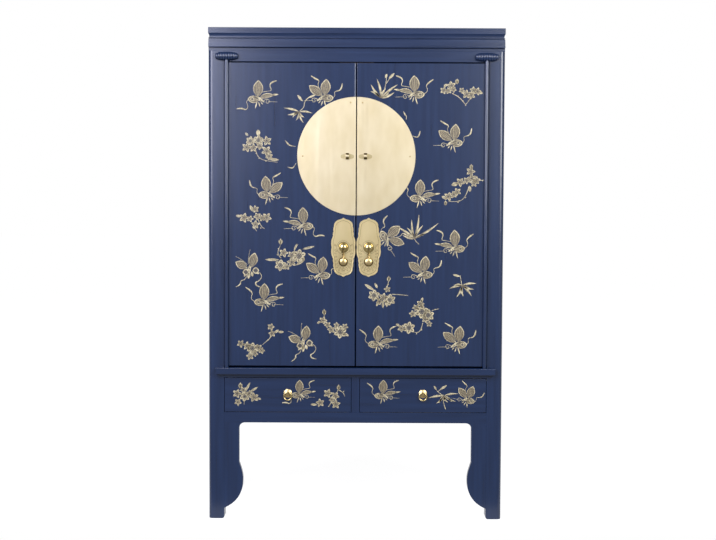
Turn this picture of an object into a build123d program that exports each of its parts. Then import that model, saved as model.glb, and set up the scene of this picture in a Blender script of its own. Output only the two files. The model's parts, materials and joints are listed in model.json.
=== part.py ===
"""A two-door wedding cabinet: a lacquered wooden carcase on shaped legs, with brass fittings.

Millimetres, +Z up. The origin is on the floor under the middle of the cabinet, and the doors
face -Y. Distances called "in" are measured from the outer face of the posts towards the middle.
"""

import os

from build123d import *

os.makedirs("parts", exist_ok=True)

# Overall
width = 1049.0  # across the posts
depth = 520.0  # over the posts
height = 1750.0  # floor to the top of the crown
fit = 0.3  # clearance round glued tenons, panels and boards

# Posts and rails
post_width = 55.5
post_depth = 50.0
post_rounding = 15.0  # outer corner of the front posts
rail_thickness = 24.0
top_rail_height = 38.5
bottom_rail_height = 37.5
leg_height = 347.0  # floor to the underside of the bottom rails
foot_rounding = 9.0  # lower inner corner of the front feet
tenon_length = 18.0
tenon_shoulder = 6.0

# Crown: a board, a mitred moulding and a cap, one on the other
cap_thickness = 21.5
cap_overhang = 0.5
cap_rounding = 2.0
moulding_face = 30.5
moulding_fillet = 4.5  # height of the fillet with the groove under it
moulding_cove = 13.0
moulding_thickness = 34.0
moulding_lean = 0.8  # the face leans back this much towards its top
moulding_quirk = 2.2  # height of the groove between face and fillet
moulding_quirk_depth = 5.0
moulding_step = 1.0  # how far the fillet stands back from the foot of the face
cove_step = 3.5  # how far the foot of the cove stands back
cove_hollow = 1.4
moulding_rounding = 2.0
top_board_thickness = 12.0
top_board_inset = 9.0  # at the front; the ends are flush with the posts
crown_back_thickness = 14.0

# Panels, floor and shelves
panel_thickness = 8.0
panel_in = 8.0  # the side panels stand this far in from the face of the posts
back_thickness = 6.0
back_in = 8.0
groove_depth = 8.0
floor_thickness = 12.0
bearer_size = 24.0
shelf_thickness = 14.0
shelf_gap = 0.5
shelf_count = 2  # evenly spaced between the floor and the top rail

# Ledge under the doors
ledge_reach = 22.0
ledge_height = 24.0
ledge_in = 27.7
ledge_strip = 12.5  # the rail shows this much under the ledge
ledge_rounding = 2.5

# Leg brackets
bracket_thickness = 20.0
bracket_foot = 38.0  # height at which the bracket runs out on the post
bracket_waist = 109.0  # in
bracket_belly = 123.0  # in
bracket_waist_height = 205.0
bracket_waist_lean = 0.3  # sideways share of the curve's start at the waist
bracket_belly_height = 142.0
bracket_foot_slope = 0.45  # fall of the curve per mm sideways where it meets the post
bracket_corner = 20.0

# Doors
door_thickness = 20.0
door_proud = 4.0
door_top_gap = 4.5
door_bottom_gap = 6.5
door_edge_gap = 1.5
meeting_gap = 3.0
door_edge_rounding = 1.2
meeting_rounding = 6.0  # of the left door, at the seam
pole_radius = 7.0
pole_in = 10.0  # its axis from the inner face of the post
pole_flat = 4.5  # from the pole's axis to the flat glued on the door
pole_end_gap = 0.5
pivot_radius = 4.5
pivot_length = 13.5
pivot_fit = 0.1

# Pivot bosses on the top rail
boss_length = 81.0
boss_radius = 16.0
boss_axis_out = 4.0  # the turning axis stands this far in front of the rail
boss_height = 18.0  # its middle above the underside of the top rail
boss_ribs = 9
boss_end_radius = 5.5
rib_bulge = 2.5

# Door stop
stop_length = 120.0
stop_height = 16.0
stop_depth = 20.0

# Round brass plate, one half on each door
disc_radius = 209.3
disc_down = 327.5  # its middle below the top of the doors
disc_thickness = 1.2
disc_seam = 4.0
disc_bevel = 0.5
nail_out = 190.0  # of the nails from the middle of the disc, one beside it and one near the top
nail_seam = 21.0  # of the top nail from the seam
nail_head_radius = 2.9
nail_head_height = 1.5
nail_shank_radius = 0.9
nail_shank_length = 14.0
nail_fit = 0.1

# Lock staples
staple_spread = 32.0
staple_width = 11.5
staple_radius = 11.0
staple_strap = 2.5
staple_reach = 18.0
prong_length = 12.0

# Pull plates, bosses and drops
plate_down = 322.6  # their middle below the middle of the disc
plate_half_width = 43.0
plate_seam = 4.0
# Ends of the scallops on a quarter of the plate: out from its middle line, up from its middle, and
# how far the scallop that ends there swells out (a minus is a hollow)
plate_scallops = (
    (0.0, 105.0, 0.0),
    (12.0, 99.2, -0.6),
    (27.5, 90.8, 1.6),
    (33.1, 74.0, 2.2),
    (34.8, 55.6, 1.6),
    (36.1, 40.4, 1.6),
    (41.7, 2.1, 3.6),
    (41.7, 0.0, 0.0),
)
plate_thickness = 1.5
rim_width = 2.6
rim_height = 0.8
knob_flange_radius = 20.0
knob_flange = 1.2
knob_radius = 15.7
knob_reach = 12.5
knob_fullness = 0.72  # share of radius and reach at the shoulder of the dome
knob_slot = 6.5
pin_radius = 1.5
pin_length = 15.0
pin_out = 8.0
pin_drop = 6.0  # below the middle of the knob
pin_fit = 0.08
eye_radius = 3.2
eye_width = 5.5
eye_clearance = 0.6
bulb_radius = 16.0
bulb_half_thickness = 6.0
bulb_rim = 1.6
bulb_shoulder = (9.6, 4.7)  # radius and half thickness
bulb_drop = 51.0  # its middle below the middle of the knob
stem_radius = 2.6
stem_collar = 4.8
stem_foot = 4.6
stem_sink = 1.0  # the foot of the stem goes this far into the bulb

# Drawers
drawer_opening = 125.0
divider_width = 28.0
divider_tenon = 10.0
drawer_gap = 1.5
drawer_front_thickness = 18.0
drawer_front_rounding = 1.0
drawer_side_thickness = 10.0
drawer_side_height = 116.0
drawer_depth = 420.0
drawer_lap = 9.0
drawer_bottom_thickness = 6.0
drawer_bottom_up = 8.0
drawer_groove = 5.0
runner_width = 27.0
runner_height = 20.0
guide_height = 16.0

# Drawer rosettes and rings
rosette_up = 5.0  # above the middle of the drawer front
rosette_radius = 15.0
rosette_reach = 4.6
rosette_edge = 1.4
rosette_shoulder = (7.3, 3.95)  # radius and reach
loop_up = 5.0  # above the middle of the rosette
loop_out = 8.0
loop_radius = 4.6
loop_wire = 1.5
ring_radius = 13.75
ring_wire = 2.25

# Levels and faces that the pieces share
boss_reach = boss_axis_out + boss_radius
staple_front = door_proud + disc_thickness + staple_reach
front_reach = max(boss_reach, ledge_reach, staple_front)
y_front = (front_reach - depth) / 2
y_back = y_front + depth
half_width = width / 2
post_inner = half_width - post_width
post_rear = y_front + post_depth  # rear face of the front posts
rear_post_front = y_back - post_depth
drawer_floor = leg_height + bottom_rail_height
drawer_ceiling = drawer_floor + drawer_opening
ledge_low = drawer_ceiling + ledge_strip
ledge_top = ledge_low + ledge_height
floor_low = ledge_top - floor_thickness
moulding_top = height - cap_thickness
moulding_low = moulding_top - moulding_cove - moulding_fillet - moulding_face
carcase_top = moulding_low - top_board_thickness
opening_top = carcase_top - top_rail_height
panel_inner = half_width - panel_in - panel_thickness  # inner face of the side panels
back_front = y_back - back_in - back_thickness  # front face of the back panel
door_low = ledge_top + door_bottom_gap
door_high = opening_top - door_top_gap
door_face = y_front - door_proud
door_back = door_face + door_thickness
pivot_x = post_inner - pole_in
pivot_y = door_face - pole_flat
boss_level = opening_top + boss_height
boss_low = boss_level - boss_radius
pole_low = ledge_top + pole_end_gap
pole_high = boss_low - pole_end_gap
shelf_spacing = (opening_top - ledge_top) / (shelf_count + 1)
shelf_levels = [ledge_top + shelf_spacing * (k + 1) for k in range(shelf_count)]  # undersides
disc_level = door_high - disc_down
disc_face = door_face - disc_thickness
plate_face = door_face - plate_thickness
plate_level = disc_level - plate_down
plate_x = plate_seam / 2 + plate_half_width
nails = ((-nail_seam, (nail_out**2 - nail_seam**2) ** 0.5), (-nail_out, 0.0))  # on the left half
pin_y = plate_face - pin_out
pin_z = plate_level - pin_drop
bulb_z = plate_level - bulb_drop
drawer_outer = post_inner - drawer_gap
drawer_inner = divider_width / 2 + drawer_gap
drawer_x = (drawer_outer + drawer_inner) / 2
rosette_z = drawer_floor + drawer_opening / 2 + rosette_up
loop_y = y_front - loop_out
loop_z = rosette_z + loop_up
runner_low = drawer_floor - runner_height
outwards = (0, -1, 0)


def board(x0, x1, y0, y1, z0, z1, mode=Mode.ADD):
    """A square board between two corners."""
    with Locations(((x0 + x1) / 2, (y0 + y1) / 2, (z0 + z1) / 2)):
        Box(abs(x1 - x0), abs(y1 - y0), abs(z1 - z0), mode=mode)


def front_plane(x, y, z):
    """Plane facing out of the front, with x to the right and z up."""
    return Plane(origin=(x, y, z), x_dir=(1, 0, 0), z_dir=(0, -1, 0))


def turned_plane(x, y, z):
    """Plane for the half section of a piece turned about an axis that points out of the front:
    x is the radius and y is the distance out."""
    return Plane(origin=(x, y, z), x_dir=(0, 0, 1), z_dir=(1, 0, 0))


def write(name, builder):
    """Label a finished piece and save it."""
    builder.part.label = name
    export_step(builder.part, f"parts/{name}.step")


def write_pair(kind, left):
    """Save a left-hand piece and its mirror image."""
    write(f"left_{kind}", left)
    with BuildPart() as right:
        mirror(left.part, about=Plane.YZ)
    write(f"right_{kind}", right)


# Rails running from left to right: front face, rear face, underside, top
cross_rails = {
    "front_top_rail": (y_front, y_front + rail_thickness, opening_top, carcase_top),
    "rear_top_rail": (y_back - rail_thickness, y_back, opening_top, carcase_top),
    "front_bottom_rail": (y_front, y_front + rail_thickness, leg_height, drawer_floor),
    "rear_bottom_rail": (y_back - rail_thickness, y_back, leg_height, drawer_floor),
    "door_ledge": (y_front, y_front + rail_thickness, drawer_ceiling, ledge_top),
}

# Rails running from front to back: outer face, inner face (both in), underside, top
floor_rail_in = panel_in + panel_thickness + fit
side_rails = {
    "top_rail": (0, rail_thickness, opening_top, carcase_top),
    "bottom_rail": (0, rail_thickness, leg_height, drawer_floor),
    "floor_rail": (floor_rail_in, floor_rail_in + bearer_size, floor_low - bearer_size, floor_low),
}
side_rail_names = {"top_rail": "side_top_rails", "bottom_rail": "side_bottom_rails",
                   "floor_rail": "floor_rails"}


def cross_tenons(rail, clear=0.0, mode=Mode.ADD):
    """The tenons of a rail between left and right posts, or with clearance their mortises."""
    y0, y1, z0, z1 = rail
    reach = post_inner + tenon_length + clear
    cheek = tenon_shoulder - clear
    board(-reach, reach, y0 + cheek, y1 - cheek, z0 + cheek, z1 - cheek, mode)


def side_tenons(rail, clear=0.0, mode=Mode.ADD):
    """The tenons of a left-hand rail between front and rear posts, or their mortises."""
    in0, in1, z0, z1 = rail
    cheek = tenon_shoulder - clear
    reach = tenon_length + clear
    x0, x1 = -half_width + in0 + cheek, -half_width + in1 - cheek
    board(x0, x1, post_rear - reach, rear_post_front + reach, z0 + cheek, z1 - cheek, mode)


def side_panel_groove(clear=fit):
    """The groove that holds a left-hand side panel, cut in posts and rails alike."""
    x0 = -half_width + panel_in - clear
    y0, y1 = post_rear - groove_depth, rear_post_front + groove_depth
    z0, z1 = drawer_floor - groove_depth, opening_top + groove_depth
    board(x0, x0 + panel_thickness + 2 * clear, y0, y1, z0, z1, Mode.SUBTRACT)


def back_panel_groove(clear=fit):
    """The groove that holds the back panel, cut in the rear posts and rails."""
    x1 = post_inner + groove_depth
    z0, z1 = drawer_floor - groove_depth, opening_top + groove_depth
    board(-x1, x1, back_front - clear, y_back - back_in + clear, z0, z1, Mode.SUBTRACT)


# ---- Posts, each in one length from the floor to the crown ----

with BuildPart() as front_post:
    with BuildSketch() as section:
        with Locations((-half_width + post_width / 2, y_front + post_depth / 2)):
            Rectangle(post_width, post_depth)
        fillet(section.vertices().group_by(Axis.Y)[0].sort_by(Axis.X)[0], post_rounding)
    extrude(amount=carcase_top)
    heel = front_post.edges().filter_by(Axis.Y).group_by(Axis.Z)[0].sort_by(Axis.X)[-1]
    fillet(heel, foot_rounding)
    for rail in cross_rails.values():
        cross_tenons(rail, fit, Mode.SUBTRACT)
    for rail in side_rails.values():
        side_tenons(rail, fit, Mode.SUBTRACT)
    side_panel_groove()
write_pair("front_post", front_post)

with BuildPart() as rear_post:
    board(-half_width, -post_inner, rear_post_front, y_back, 0, carcase_top)
    for rail in cross_rails.values():
        cross_tenons(rail, fit, Mode.SUBTRACT)
    for rail in side_rails.values():
        side_tenons(rail, fit, Mode.SUBTRACT)
    side_panel_groove()
    back_panel_groove()
write_pair("rear_post", rear_post)

# ---- Rails ----

for name in ("front_top_rail", "rear_top_rail"):
    with BuildPart() as top_rail:
        board(-post_inner, post_inner, *cross_rails[name])
        cross_tenons(cross_rails[name])
        back_panel_groove()
    write(name, top_rail)

for name in ("front_bottom_rail", "rear_bottom_rail"):
    with BuildPart() as bottom_rail:
        board(-post_inner, post_inner, *cross_rails[name])
        cross_tenons(cross_rails[name])
        back_panel_groove()
        if name == "front_bottom_rail":
            y0, y1, _, z1 = cross_rails[name]
            half = divider_width / 2 - tenon_shoulder + fit
            cheek = tenon_shoulder - fit
            z0 = z1 - divider_tenon - fit
            board(-half, half, y0 + cheek, y1 - cheek, z0, z1, Mode.SUBTRACT)
    write(name, bottom_rail)

for kind, rail in side_rails.items():
    in0, in1, z0, z1 = rail
    with BuildPart() as side_rail:
        board(-half_width + in0, -half_width + in1, post_rear, rear_post_front, z0, z1)
        side_tenons(rail)
        if kind != "floor_rail":
            side_panel_groove()
    with BuildPart() as rail_pair:
        add(side_rail.part)
        mirror(side_rail.part, about=Plane.YZ)
    write(side_rail_names[kind], rail_pair)

# The ledge: a rail that laps over the posts in front and carries the doors on their pivots
with BuildPart() as door_ledge:
    ledge_half = half_width - ledge_in
    board(-ledge_half, ledge_half, y_front - ledge_reach, y_front, ledge_low, ledge_top)
    nose = door_ledge.edges().filter_by(Axis.X).group_by(Axis.Y)[0]
    fillet(nose, ledge_rounding)
    board(-post_inner, post_inner, *cross_rails["door_ledge"])
    cross_tenons(cross_rails["door_ledge"])
    with Locations((-pivot_x, pivot_y, ledge_top), (pivot_x, pivot_y, ledge_top)):
        Hole(pivot_radius + pivot_fit, depth=pivot_length - pole_end_gap + fit)
    half = divider_width / 2 - tenon_shoulder + fit
    y0, y1 = y_front + tenon_shoulder - fit, y_front + rail_thickness - tenon_shoulder + fit
    board(-half, half, y0, y1, drawer_ceiling, drawer_ceiling + divider_tenon + fit, Mode.SUBTRACT)
write("door_ledge", door_ledge)

with BuildPart() as drawer_divider:
    half = divider_width / 2
    board(-half, half, y_front, y_front + rail_thickness, drawer_floor, drawer_ceiling)
    half -= tenon_shoulder
    y0, y1 = y_front + tenon_shoulder, y_front + rail_thickness - tenon_shoulder
    board(-half, half, y0, y1, drawer_floor - divider_tenon, drawer_ceiling + divider_tenon)
write("drawer_divider", drawer_divider)

# Runners under the drawer sides; the middle one has a guide between the two drawers
with BuildPart() as drawer_runners:
    y0, y1 = y_front + rail_thickness, y_back - rail_thickness
    board(-post_inner, -post_inner + runner_width, y0, y1, runner_low, drawer_floor)
    board(post_inner - runner_width, post_inner, y0, y1, runner_low, drawer_floor)
    half = drawer_inner + drawer_side_thickness
    board(-half, half, y0, y1, runner_low, drawer_floor)
    half = divider_width / 2
    board(-half, half, y0, y1, drawer_floor, drawer_floor + guide_height)
write("drawer_runners", drawer_runners)

# ---- Panels, floor and top ----

with BuildPart() as side_panel:
    slack = groove_depth - fit
    x0 = -half_width + panel_in
    z0, z1 = drawer_floor - slack, opening_top + slack
    board(x0, x0 + panel_thickness, post_rear - slack, rear_post_front + slack, z0, z1)
write_pair("side_panel", side_panel)

with BuildPart() as back_panel:
    half = post_inner + groove_depth - fit
    board(-half, half, back_front, back_front + back_thickness, z0, z1)
write("back_panel", back_panel)

# The floor is notched round the four posts and lies on the floor rails
with BuildPart() as floor_board:
    half = panel_inner - fit
    y0 = y_front + rail_thickness + fit
    board(-half, half, y0, back_front - fit, floor_low, ledge_top)
    notch = post_inner - fit
    for x0, x1 in ((-half_width, -notch), (notch, half_width)):
        board(x0, x1, y_front, post_rear + fit, floor_low, ledge_top, Mode.SUBTRACT)
        board(x0, x1, rear_post_front - fit, y_back, floor_low, ledge_top, Mode.SUBTRACT)
write("floor_board", floor_board)

with BuildPart() as top_board:
    y0 = y_front + top_board_inset
    board(-half_width, half_width, y0, y_back, carcase_top, moulding_low)
write("top_board", top_board)

# ---- Crown ----


def moulding_profile():
    """Section of the crown moulding: x is out of the cabinet, y is up."""
    face_top = moulding_low + moulding_face
    fillet_low = face_top + moulding_quirk
    cove_low = face_top + moulding_fillet
    with BuildSketch(Plane.XY) as section:
        with BuildLine():
            Polyline(
                (-cove_step, cove_low),
                (-moulding_step, cove_low),
                (-moulding_step, fillet_low),
                (-moulding_quirk_depth, fillet_low),
                (-moulding_quirk_depth, face_top),
                (-moulding_lean, face_top),
                (0, moulding_low),
                (-moulding_thickness, moulding_low),
                (-moulding_thickness, moulding_top),
                (0, moulding_top),
            )
            SagittaArc((0, moulding_top), (-cove_step, cove_low), -cove_hollow)
        make_face()
        corners = section.vertices().sort_by(Axis.Y)[:4].sort_by(Axis.X)[-2:]
        fillet(corners, moulding_rounding)
    return section.sketch


left_mitre = Plane(origin=(-half_width, y_front, 0), z_dir=(1, -1, 0))
right_mitre = Plane(origin=(half_width, y_front, 0), z_dir=(-1, -1, 0))

with BuildPart() as crown_front:
    with BuildSketch(Plane(origin=(-half_width, y_front, 0), x_dir=(0, -1, 0), z_dir=(-1, 0, 0))):
        add(moulding_profile())
    extrude(amount=-width)
    split(bisect_by=left_mitre, keep=Keep.TOP)
    split(bisect_by=right_mitre, keep=Keep.TOP)
write("crown_front_moulding", crown_front)

with BuildPart() as crown_left:
    with BuildSketch(Plane(origin=(-half_width, y_front, 0), x_dir=(-1, 0, 0), z_dir=(0, 1, 0))):
        add(moulding_profile())
    extrude(amount=depth)
    split(bisect_by=left_mitre, keep=Keep.BOTTOM)
with BuildPart() as crown_sides:
    add(crown_left.part)
    mirror(crown_left.part, about=Plane.YZ)
write("crown_side_mouldings", crown_sides)

with BuildPart() as crown_back:
    half = half_width - moulding_thickness - fit
    board(-half, half, y_back - crown_back_thickness, y_back, moulding_low, moulding_top)
write("crown_back_board", crown_back)

with BuildPart() as crown_cap:
    half = half_width + cap_overhang
    board(-half, half, y_front - cap_overhang, y_back, moulding_top, height)
    rims = crown_cap.edges().filter_by(Axis.Z, reverse=True).group_by(Axis.Y)[:-1]
    fillet([edge for rim in rims for edge in rim], cap_rounding)
write("crown_cap", crown_cap)

# ---- Shelves on bearers, and the stop that the doors close against ----

with BuildPart() as shelf_bearers:
    for level in shelf_levels:
        x0 = panel_inner - fit - bearer_size
        y0, y1 = post_rear + fit, rear_post_front - fit
        board(x0, x0 + bearer_size, y0, y1, level - bearer_size, level)
        board(-x0 - bearer_size, -x0, y0, y1, level - bearer_size, level)
write("shelf_bearers", shelf_bearers)

with BuildPart() as shelves:
    for level in shelf_levels:
        half = panel_inner - shelf_gap
        y0, y1 = post_rear + shelf_gap, rear_post_front - shelf_gap
        board(-half, half, y0, y1, level, level + shelf_thickness)
write("shelves", shelves)

with BuildPart() as door_stop:
    y0 = door_back + fit
    half = stop_length / 2
    board(-half, half, y0, y0 + stop_depth, opening_top - stop_height, opening_top)
write("door_stop", door_stop)

# ---- Leg brackets: one shaped board beside each front leg ----

with BuildPart() as leg_bracket:
    with BuildSketch(front_plane(-half_width, y_front, 0)):
        with BuildLine():
            top_in = bracket_waist + bracket_corner
            shoulder = (bracket_waist, leg_height - bracket_corner)
            waist = (bracket_waist, bracket_waist_height)
            belly = (bracket_belly, bracket_belly_height)
            foot = (post_width, bracket_foot)
            Polyline(foot, (post_width, leg_height), (top_in, leg_height))
            RadiusArc((top_in, leg_height), shoulder, -bracket_corner)
            Line(shoulder, waist)
            Spline(waist, belly, tangents=((bracket_waist_lean, -1), (0, -1)))
            Spline(belly, foot, tangents=((0, -1), (-1, -bracket_foot_slope)))
        make_face()
    extrude(amount=-bracket_thickness)
write_pair("leg_bracket", leg_bracket)

# ---- Pivot bosses: carved as a ribbed half barrel, with the socket of the door's upper pivot ----


def valley_radius(x):
    """Radius of the barrel in the valley between two ribs, x from its middle."""
    swell = max(0.0, 1 - (2 * x / boss_length) ** 2) ** 0.5
    return boss_end_radius + (boss_radius - rib_bulge - boss_end_radius) * swell


with BuildPart() as pivot_boss:
    axis_y = y_front - boss_axis_out
    rib = boss_length / boss_ribs
    valleys = [-boss_length / 2 + rib * k for k in range(boss_ribs + 1)]
    with BuildSketch(Plane(origin=(-pivot_x, axis_y, boss_level))):
        with BuildLine():
            for x0, x1 in zip(valleys, valleys[1:]):
                SagittaArc((x0, valley_radius(x0)), (x1, valley_radius(x1)), rib_bulge)
            Polyline(
                (valleys[-1], boss_end_radius),
                (valleys[-1], 0),
                (valleys[0], 0),
                (valleys[0], boss_end_radius),
            )
        make_face()
    revolve(axis=Axis((-pivot_x, axis_y, boss_level), (1, 0, 0)))
    split(bisect_by=Plane(origin=(0, y_front, 0), z_dir=(0, -1, 0)), keep=Keep.TOP)
    with BuildSketch(Plane.XY.offset(boss_low)):
        with Locations((-pivot_x, pivot_y)):
            Circle(pivot_radius + pivot_fit)
    extrude(amount=pole_high + pivot_length + fit - boss_low, mode=Mode.SUBTRACT)
write_pair("pivot_boss", pivot_boss)

# ---- Doors ----


def staple_prongs(clear, mode):
    """The two prongs of a left-hand lock staple, or with clearance their slots."""
    x0 = -staple_spread - staple_width / 2
    y1 = disc_face + disc_thickness + prong_length + clear
    for low in (disc_level - staple_radius, disc_level + staple_radius - staple_strap):
        z0, z1 = low - clear, low + staple_strap + clear
        board(x0 - clear, x0 + staple_width + clear, disc_face, y1, z0, z1, mode)


def nail_shanks(clear, mode):
    """The shanks of the left-hand nails, or with clearance their holes."""
    for x, up in nails:
        middle = (x, disc_face + nail_shank_length / 2, disc_level + up)
        with Locations(Location(middle, (90, 0, 0))):
            Cylinder(nail_shank_radius + clear, nail_shank_length + 2 * clear, mode=mode)


def door_panel(rounding):
    """A left-hand door board, with its front edge rounded at the seam between the doors."""
    with BuildPart() as panel:
        x0, x1 = -post_inner + door_edge_gap, -meeting_gap / 2
        board(x0, x1, door_face, door_back, door_low, door_high)
        edge = panel.edges().filter_by(Axis.Z).group_by(Axis.Y)[0].sort_by(Axis.X)[-1]
        fillet(edge, rounding)
        staple_prongs(fit, Mode.SUBTRACT)
        nail_shanks(nail_fit, Mode.SUBTRACT)
    return panel


write("left_door_panel", door_panel(meeting_rounding))
with BuildPart() as right_panel:
    mirror(door_panel(door_edge_rounding).part, about=Plane.YZ)
write("right_door_panel", right_panel)

# The pole is round, with a flat behind that is glued on the door, and turned pivots at its ends
with BuildPart() as door_pole:
    with BuildSketch(Plane.XY.offset(pole_low)):
        with Locations((-pivot_x, pivot_y)):
            Circle(pole_radius)
        with Locations((-pivot_x, door_face + pole_radius)):
            Rectangle(2 * pole_radius, 2 * pole_radius, mode=Mode.SUBTRACT)
    extrude(amount=pole_high - pole_low)
    with BuildSketch(Plane.XY.offset(pole_low - pivot_length)):
        with Locations((-pivot_x, pivot_y)):
            Circle(pivot_radius)
    extrude(amount=pole_high - pole_low + 2 * pivot_length)
write_pair("door_pole", door_pole)

with BuildPart() as disc_half:
    with BuildSketch(front_plane(0, disc_face, disc_level)):
        Circle(disc_radius)
        with Locations((disc_radius - disc_seam / 2, 0)):
            Rectangle(2 * disc_radius, 2 * disc_radius, mode=Mode.SUBTRACT)
    extrude(amount=-disc_thickness)
    rim = disc_half.faces().sort_by(Axis.Y)[0].edges()
    chamfer(rim, disc_bevel)
    staple_prongs(fit, Mode.SUBTRACT)
    nail_shanks(nail_fit, Mode.SUBTRACT)
write_pair("disc_half", disc_half)

# Dome-headed nails hold the disc on the door
with BuildPart() as disc_nails:
    nail_shanks(0, Mode.ADD)
    for x, up in nails:
        with BuildSketch(turned_plane(x, disc_face, disc_level + up)):
            with BuildLine():
                Polyline((0, nail_head_height), (0, 0), (nail_head_radius, 0))
                head_radius = (nail_head_radius**2 + nail_head_height**2) / (2 * nail_head_height)
                RadiusArc((nail_head_radius, 0), (0, nail_head_height), -head_radius)
            make_face()
        revolve(axis=Axis((x, disc_face, disc_level + up), outwards))
write_pair("disc_nails", disc_nails)

with BuildPart() as lock_staple:
    bend_y = disc_face - staple_reach + staple_radius
    back_y = disc_face + disc_thickness + prong_length
    with BuildSketch(Plane.YZ.offset(-staple_spread - staple_width / 2)):
        for radius, mode in (
            (staple_radius, Mode.ADD),
            (staple_radius - staple_strap, Mode.SUBTRACT),
        ):
            with Locations((bend_y, disc_level)):
                Circle(radius, mode=mode)
            with Locations(((bend_y + back_y) / 2, disc_level)):
                Rectangle(back_y - bend_y, 2 * radius, mode=mode)
    extrude(amount=staple_width)
write_pair("lock_staple", lock_staple)


def plate_outline():
    """Scalloped outline of a pull plate, centred on the origin."""
    with BuildLine() as line:
        for (x0, z0, _), (x1, z1, swell) in zip(plate_scallops, plate_scallops[1:]):
            if swell:
                SagittaArc((x0, z0), (x1, z1), swell)
            else:
                Line((x0, z0), (x1, z1))
        mirror(about=Plane.YZ)
        mirror(about=Plane.XZ)
    return line.line


plate_plane = front_plane(-plate_x, plate_face, plate_level)
with BuildPart() as pull_plate:
    with BuildSketch(plate_plane):
        with BuildLine():
            add(plate_outline())
        make_face()
    extrude(amount=-plate_thickness)
    with BuildSketch(plate_plane):
        with BuildLine():
            add(plate_outline())
        make_face()
        offset(amount=-rim_width, mode=Mode.SUBTRACT)
    extrude(amount=rim_height)
write_pair("pull_plate", pull_plate)

# The knob of a pull is a slotted brass dome; the drop hangs in the slot on a pin
with BuildPart() as pull_knob:
    with BuildSketch(turned_plane(-plate_x, plate_face, plate_level)):
        with BuildLine():
            dome = knob_reach - knob_flange
            shoulder = (knob_fullness * knob_radius, knob_flange + knob_fullness * dome)
            Polyline(
                (0, knob_reach),
                (0, 0),
                (knob_flange_radius, 0),
                (knob_flange_radius, knob_flange),
                (knob_radius, knob_flange),
            )
            ThreePointArc((knob_radius, knob_flange), shoulder, (0, knob_reach))
        make_face()
    revolve(axis=Axis((-plate_x, plate_face, plate_level), outwards))
    slot_back = pin_y + eye_radius + eye_clearance
    slot_top = pin_z + eye_radius + eye_clearance
    half = knob_slot / 2
    low = plate_level - knob_flange_radius - fit
    board(-plate_x - half, -plate_x + half, plate_face - 2 * knob_reach, slot_back, low, slot_top,
          Mode.SUBTRACT)
    with Locations(Location((-plate_x, pin_y, pin_z), (0, 90, 0))):
        Cylinder(pin_radius + pin_fit, pin_length + 2 * fit, mode=Mode.SUBTRACT)
write_pair("pull_knob", pull_knob)

with BuildPart() as pull_pin:
    with Locations(Location((-plate_x, pin_y, pin_z), (0, 90, 0))):
        Cylinder(pin_radius, pin_length)
write_pair("pull_pin", pull_pin)

with BuildPart() as pull_drop:
    # turned stem with a collar, from the eye down into the bulb
    with BuildSketch(front_plane(-plate_x, pin_y, 0)):
        bulb_top = bulb_z + bulb_radius
        collar_z = (bulb_top + pin_z) / 2 - stem_collar
        with BuildLine():
            Polyline(
                (stem_radius, collar_z + stem_collar / 2),
                (stem_radius, pin_z),
                (0, pin_z),
                (0, bulb_z),
                (stem_foot, bulb_z),
                (stem_foot, bulb_top - stem_sink),
                (stem_radius, collar_z - stem_collar / 2),
            )
            ThreePointArc(
                (stem_radius, collar_z - stem_collar / 2),
                (stem_collar, collar_z),
                (stem_radius, collar_z + stem_collar / 2),
            )
        make_face()
    revolve(axis=Axis((-plate_x, pin_y, 0), (0, 0, 1)))
    # flattened bulb, alike in front and behind
    with BuildSketch(turned_plane(-plate_x, pin_y, bulb_z)):
        with BuildLine():
            rim = (bulb_radius - bulb_rim, bulb_rim)
            ThreePointArc((0, bulb_half_thickness), bulb_shoulder, rim)
            Line(rim, (bulb_radius, 0))
            mirror(about=Plane.XZ)
            Line((0, -bulb_half_thickness), (0, bulb_half_thickness))
        make_face()
    revolve(axis=Axis((-plate_x, pin_y, bulb_z), outwards))
    with Locations(Location((-plate_x, pin_y, pin_z), (0, 90, 0))):
        Cylinder(eye_radius, eye_width)
        Cylinder(pin_radius + pin_fit, 2 * eye_width, mode=Mode.SUBTRACT)
write_pair("pull_drop", pull_drop)

# ---- Drawers ----

drawer_low = drawer_floor + drawer_gap
side_low = drawer_floor + fit
bottom_low = side_low + drawer_bottom_up
front_back = y_front + drawer_front_thickness
box_back = front_back + drawer_depth
lap_y = front_back - drawer_lap
tongue = drawer_groove - fit
inner_left = -drawer_outer + drawer_side_thickness
inner_right = -drawer_inner - drawer_side_thickness

with BuildPart() as drawer_front:
    x0, x1 = -drawer_outer, -drawer_inner
    board(x0, x1, y_front, front_back, drawer_low, drawer_ceiling - drawer_gap)
    face = drawer_front.faces().sort_by(Axis.Y)[0]
    fillet(face.edges(), drawer_front_rounding)
    lap_top = side_low + drawer_side_height + fit
    for edge, inner in ((x0, inner_left), (x1, inner_right)):
        board(edge, inner, lap_y, front_back, drawer_low, lap_top, Mode.SUBTRACT)
    groove_y = front_back - drawer_groove
    groove_top = bottom_low + drawer_bottom_thickness + fit
    board(inner_left, inner_right, groove_y, front_back, bottom_low - fit, groove_top,
          Mode.SUBTRACT)
write_pair("drawer_front", drawer_front)

with BuildPart() as drawer_sides:
    side_top = side_low + drawer_side_height
    for edge, inner in ((-drawer_outer, inner_left), (-drawer_inner, inner_right)):
        board(edge, inner, lap_y, box_back, side_low, side_top)
    x0, x1 = inner_left - drawer_groove, inner_right + drawer_groove
    board(x0, x1, lap_y, box_back, bottom_low - fit, groove_top, Mode.SUBTRACT)
write_pair("drawer_sides", drawer_sides)

with BuildPart() as drawer_back:
    board(inner_left, inner_right, box_back - drawer_side_thickness, box_back, groove_top,
          side_top)
write_pair("drawer_back", drawer_back)

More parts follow.
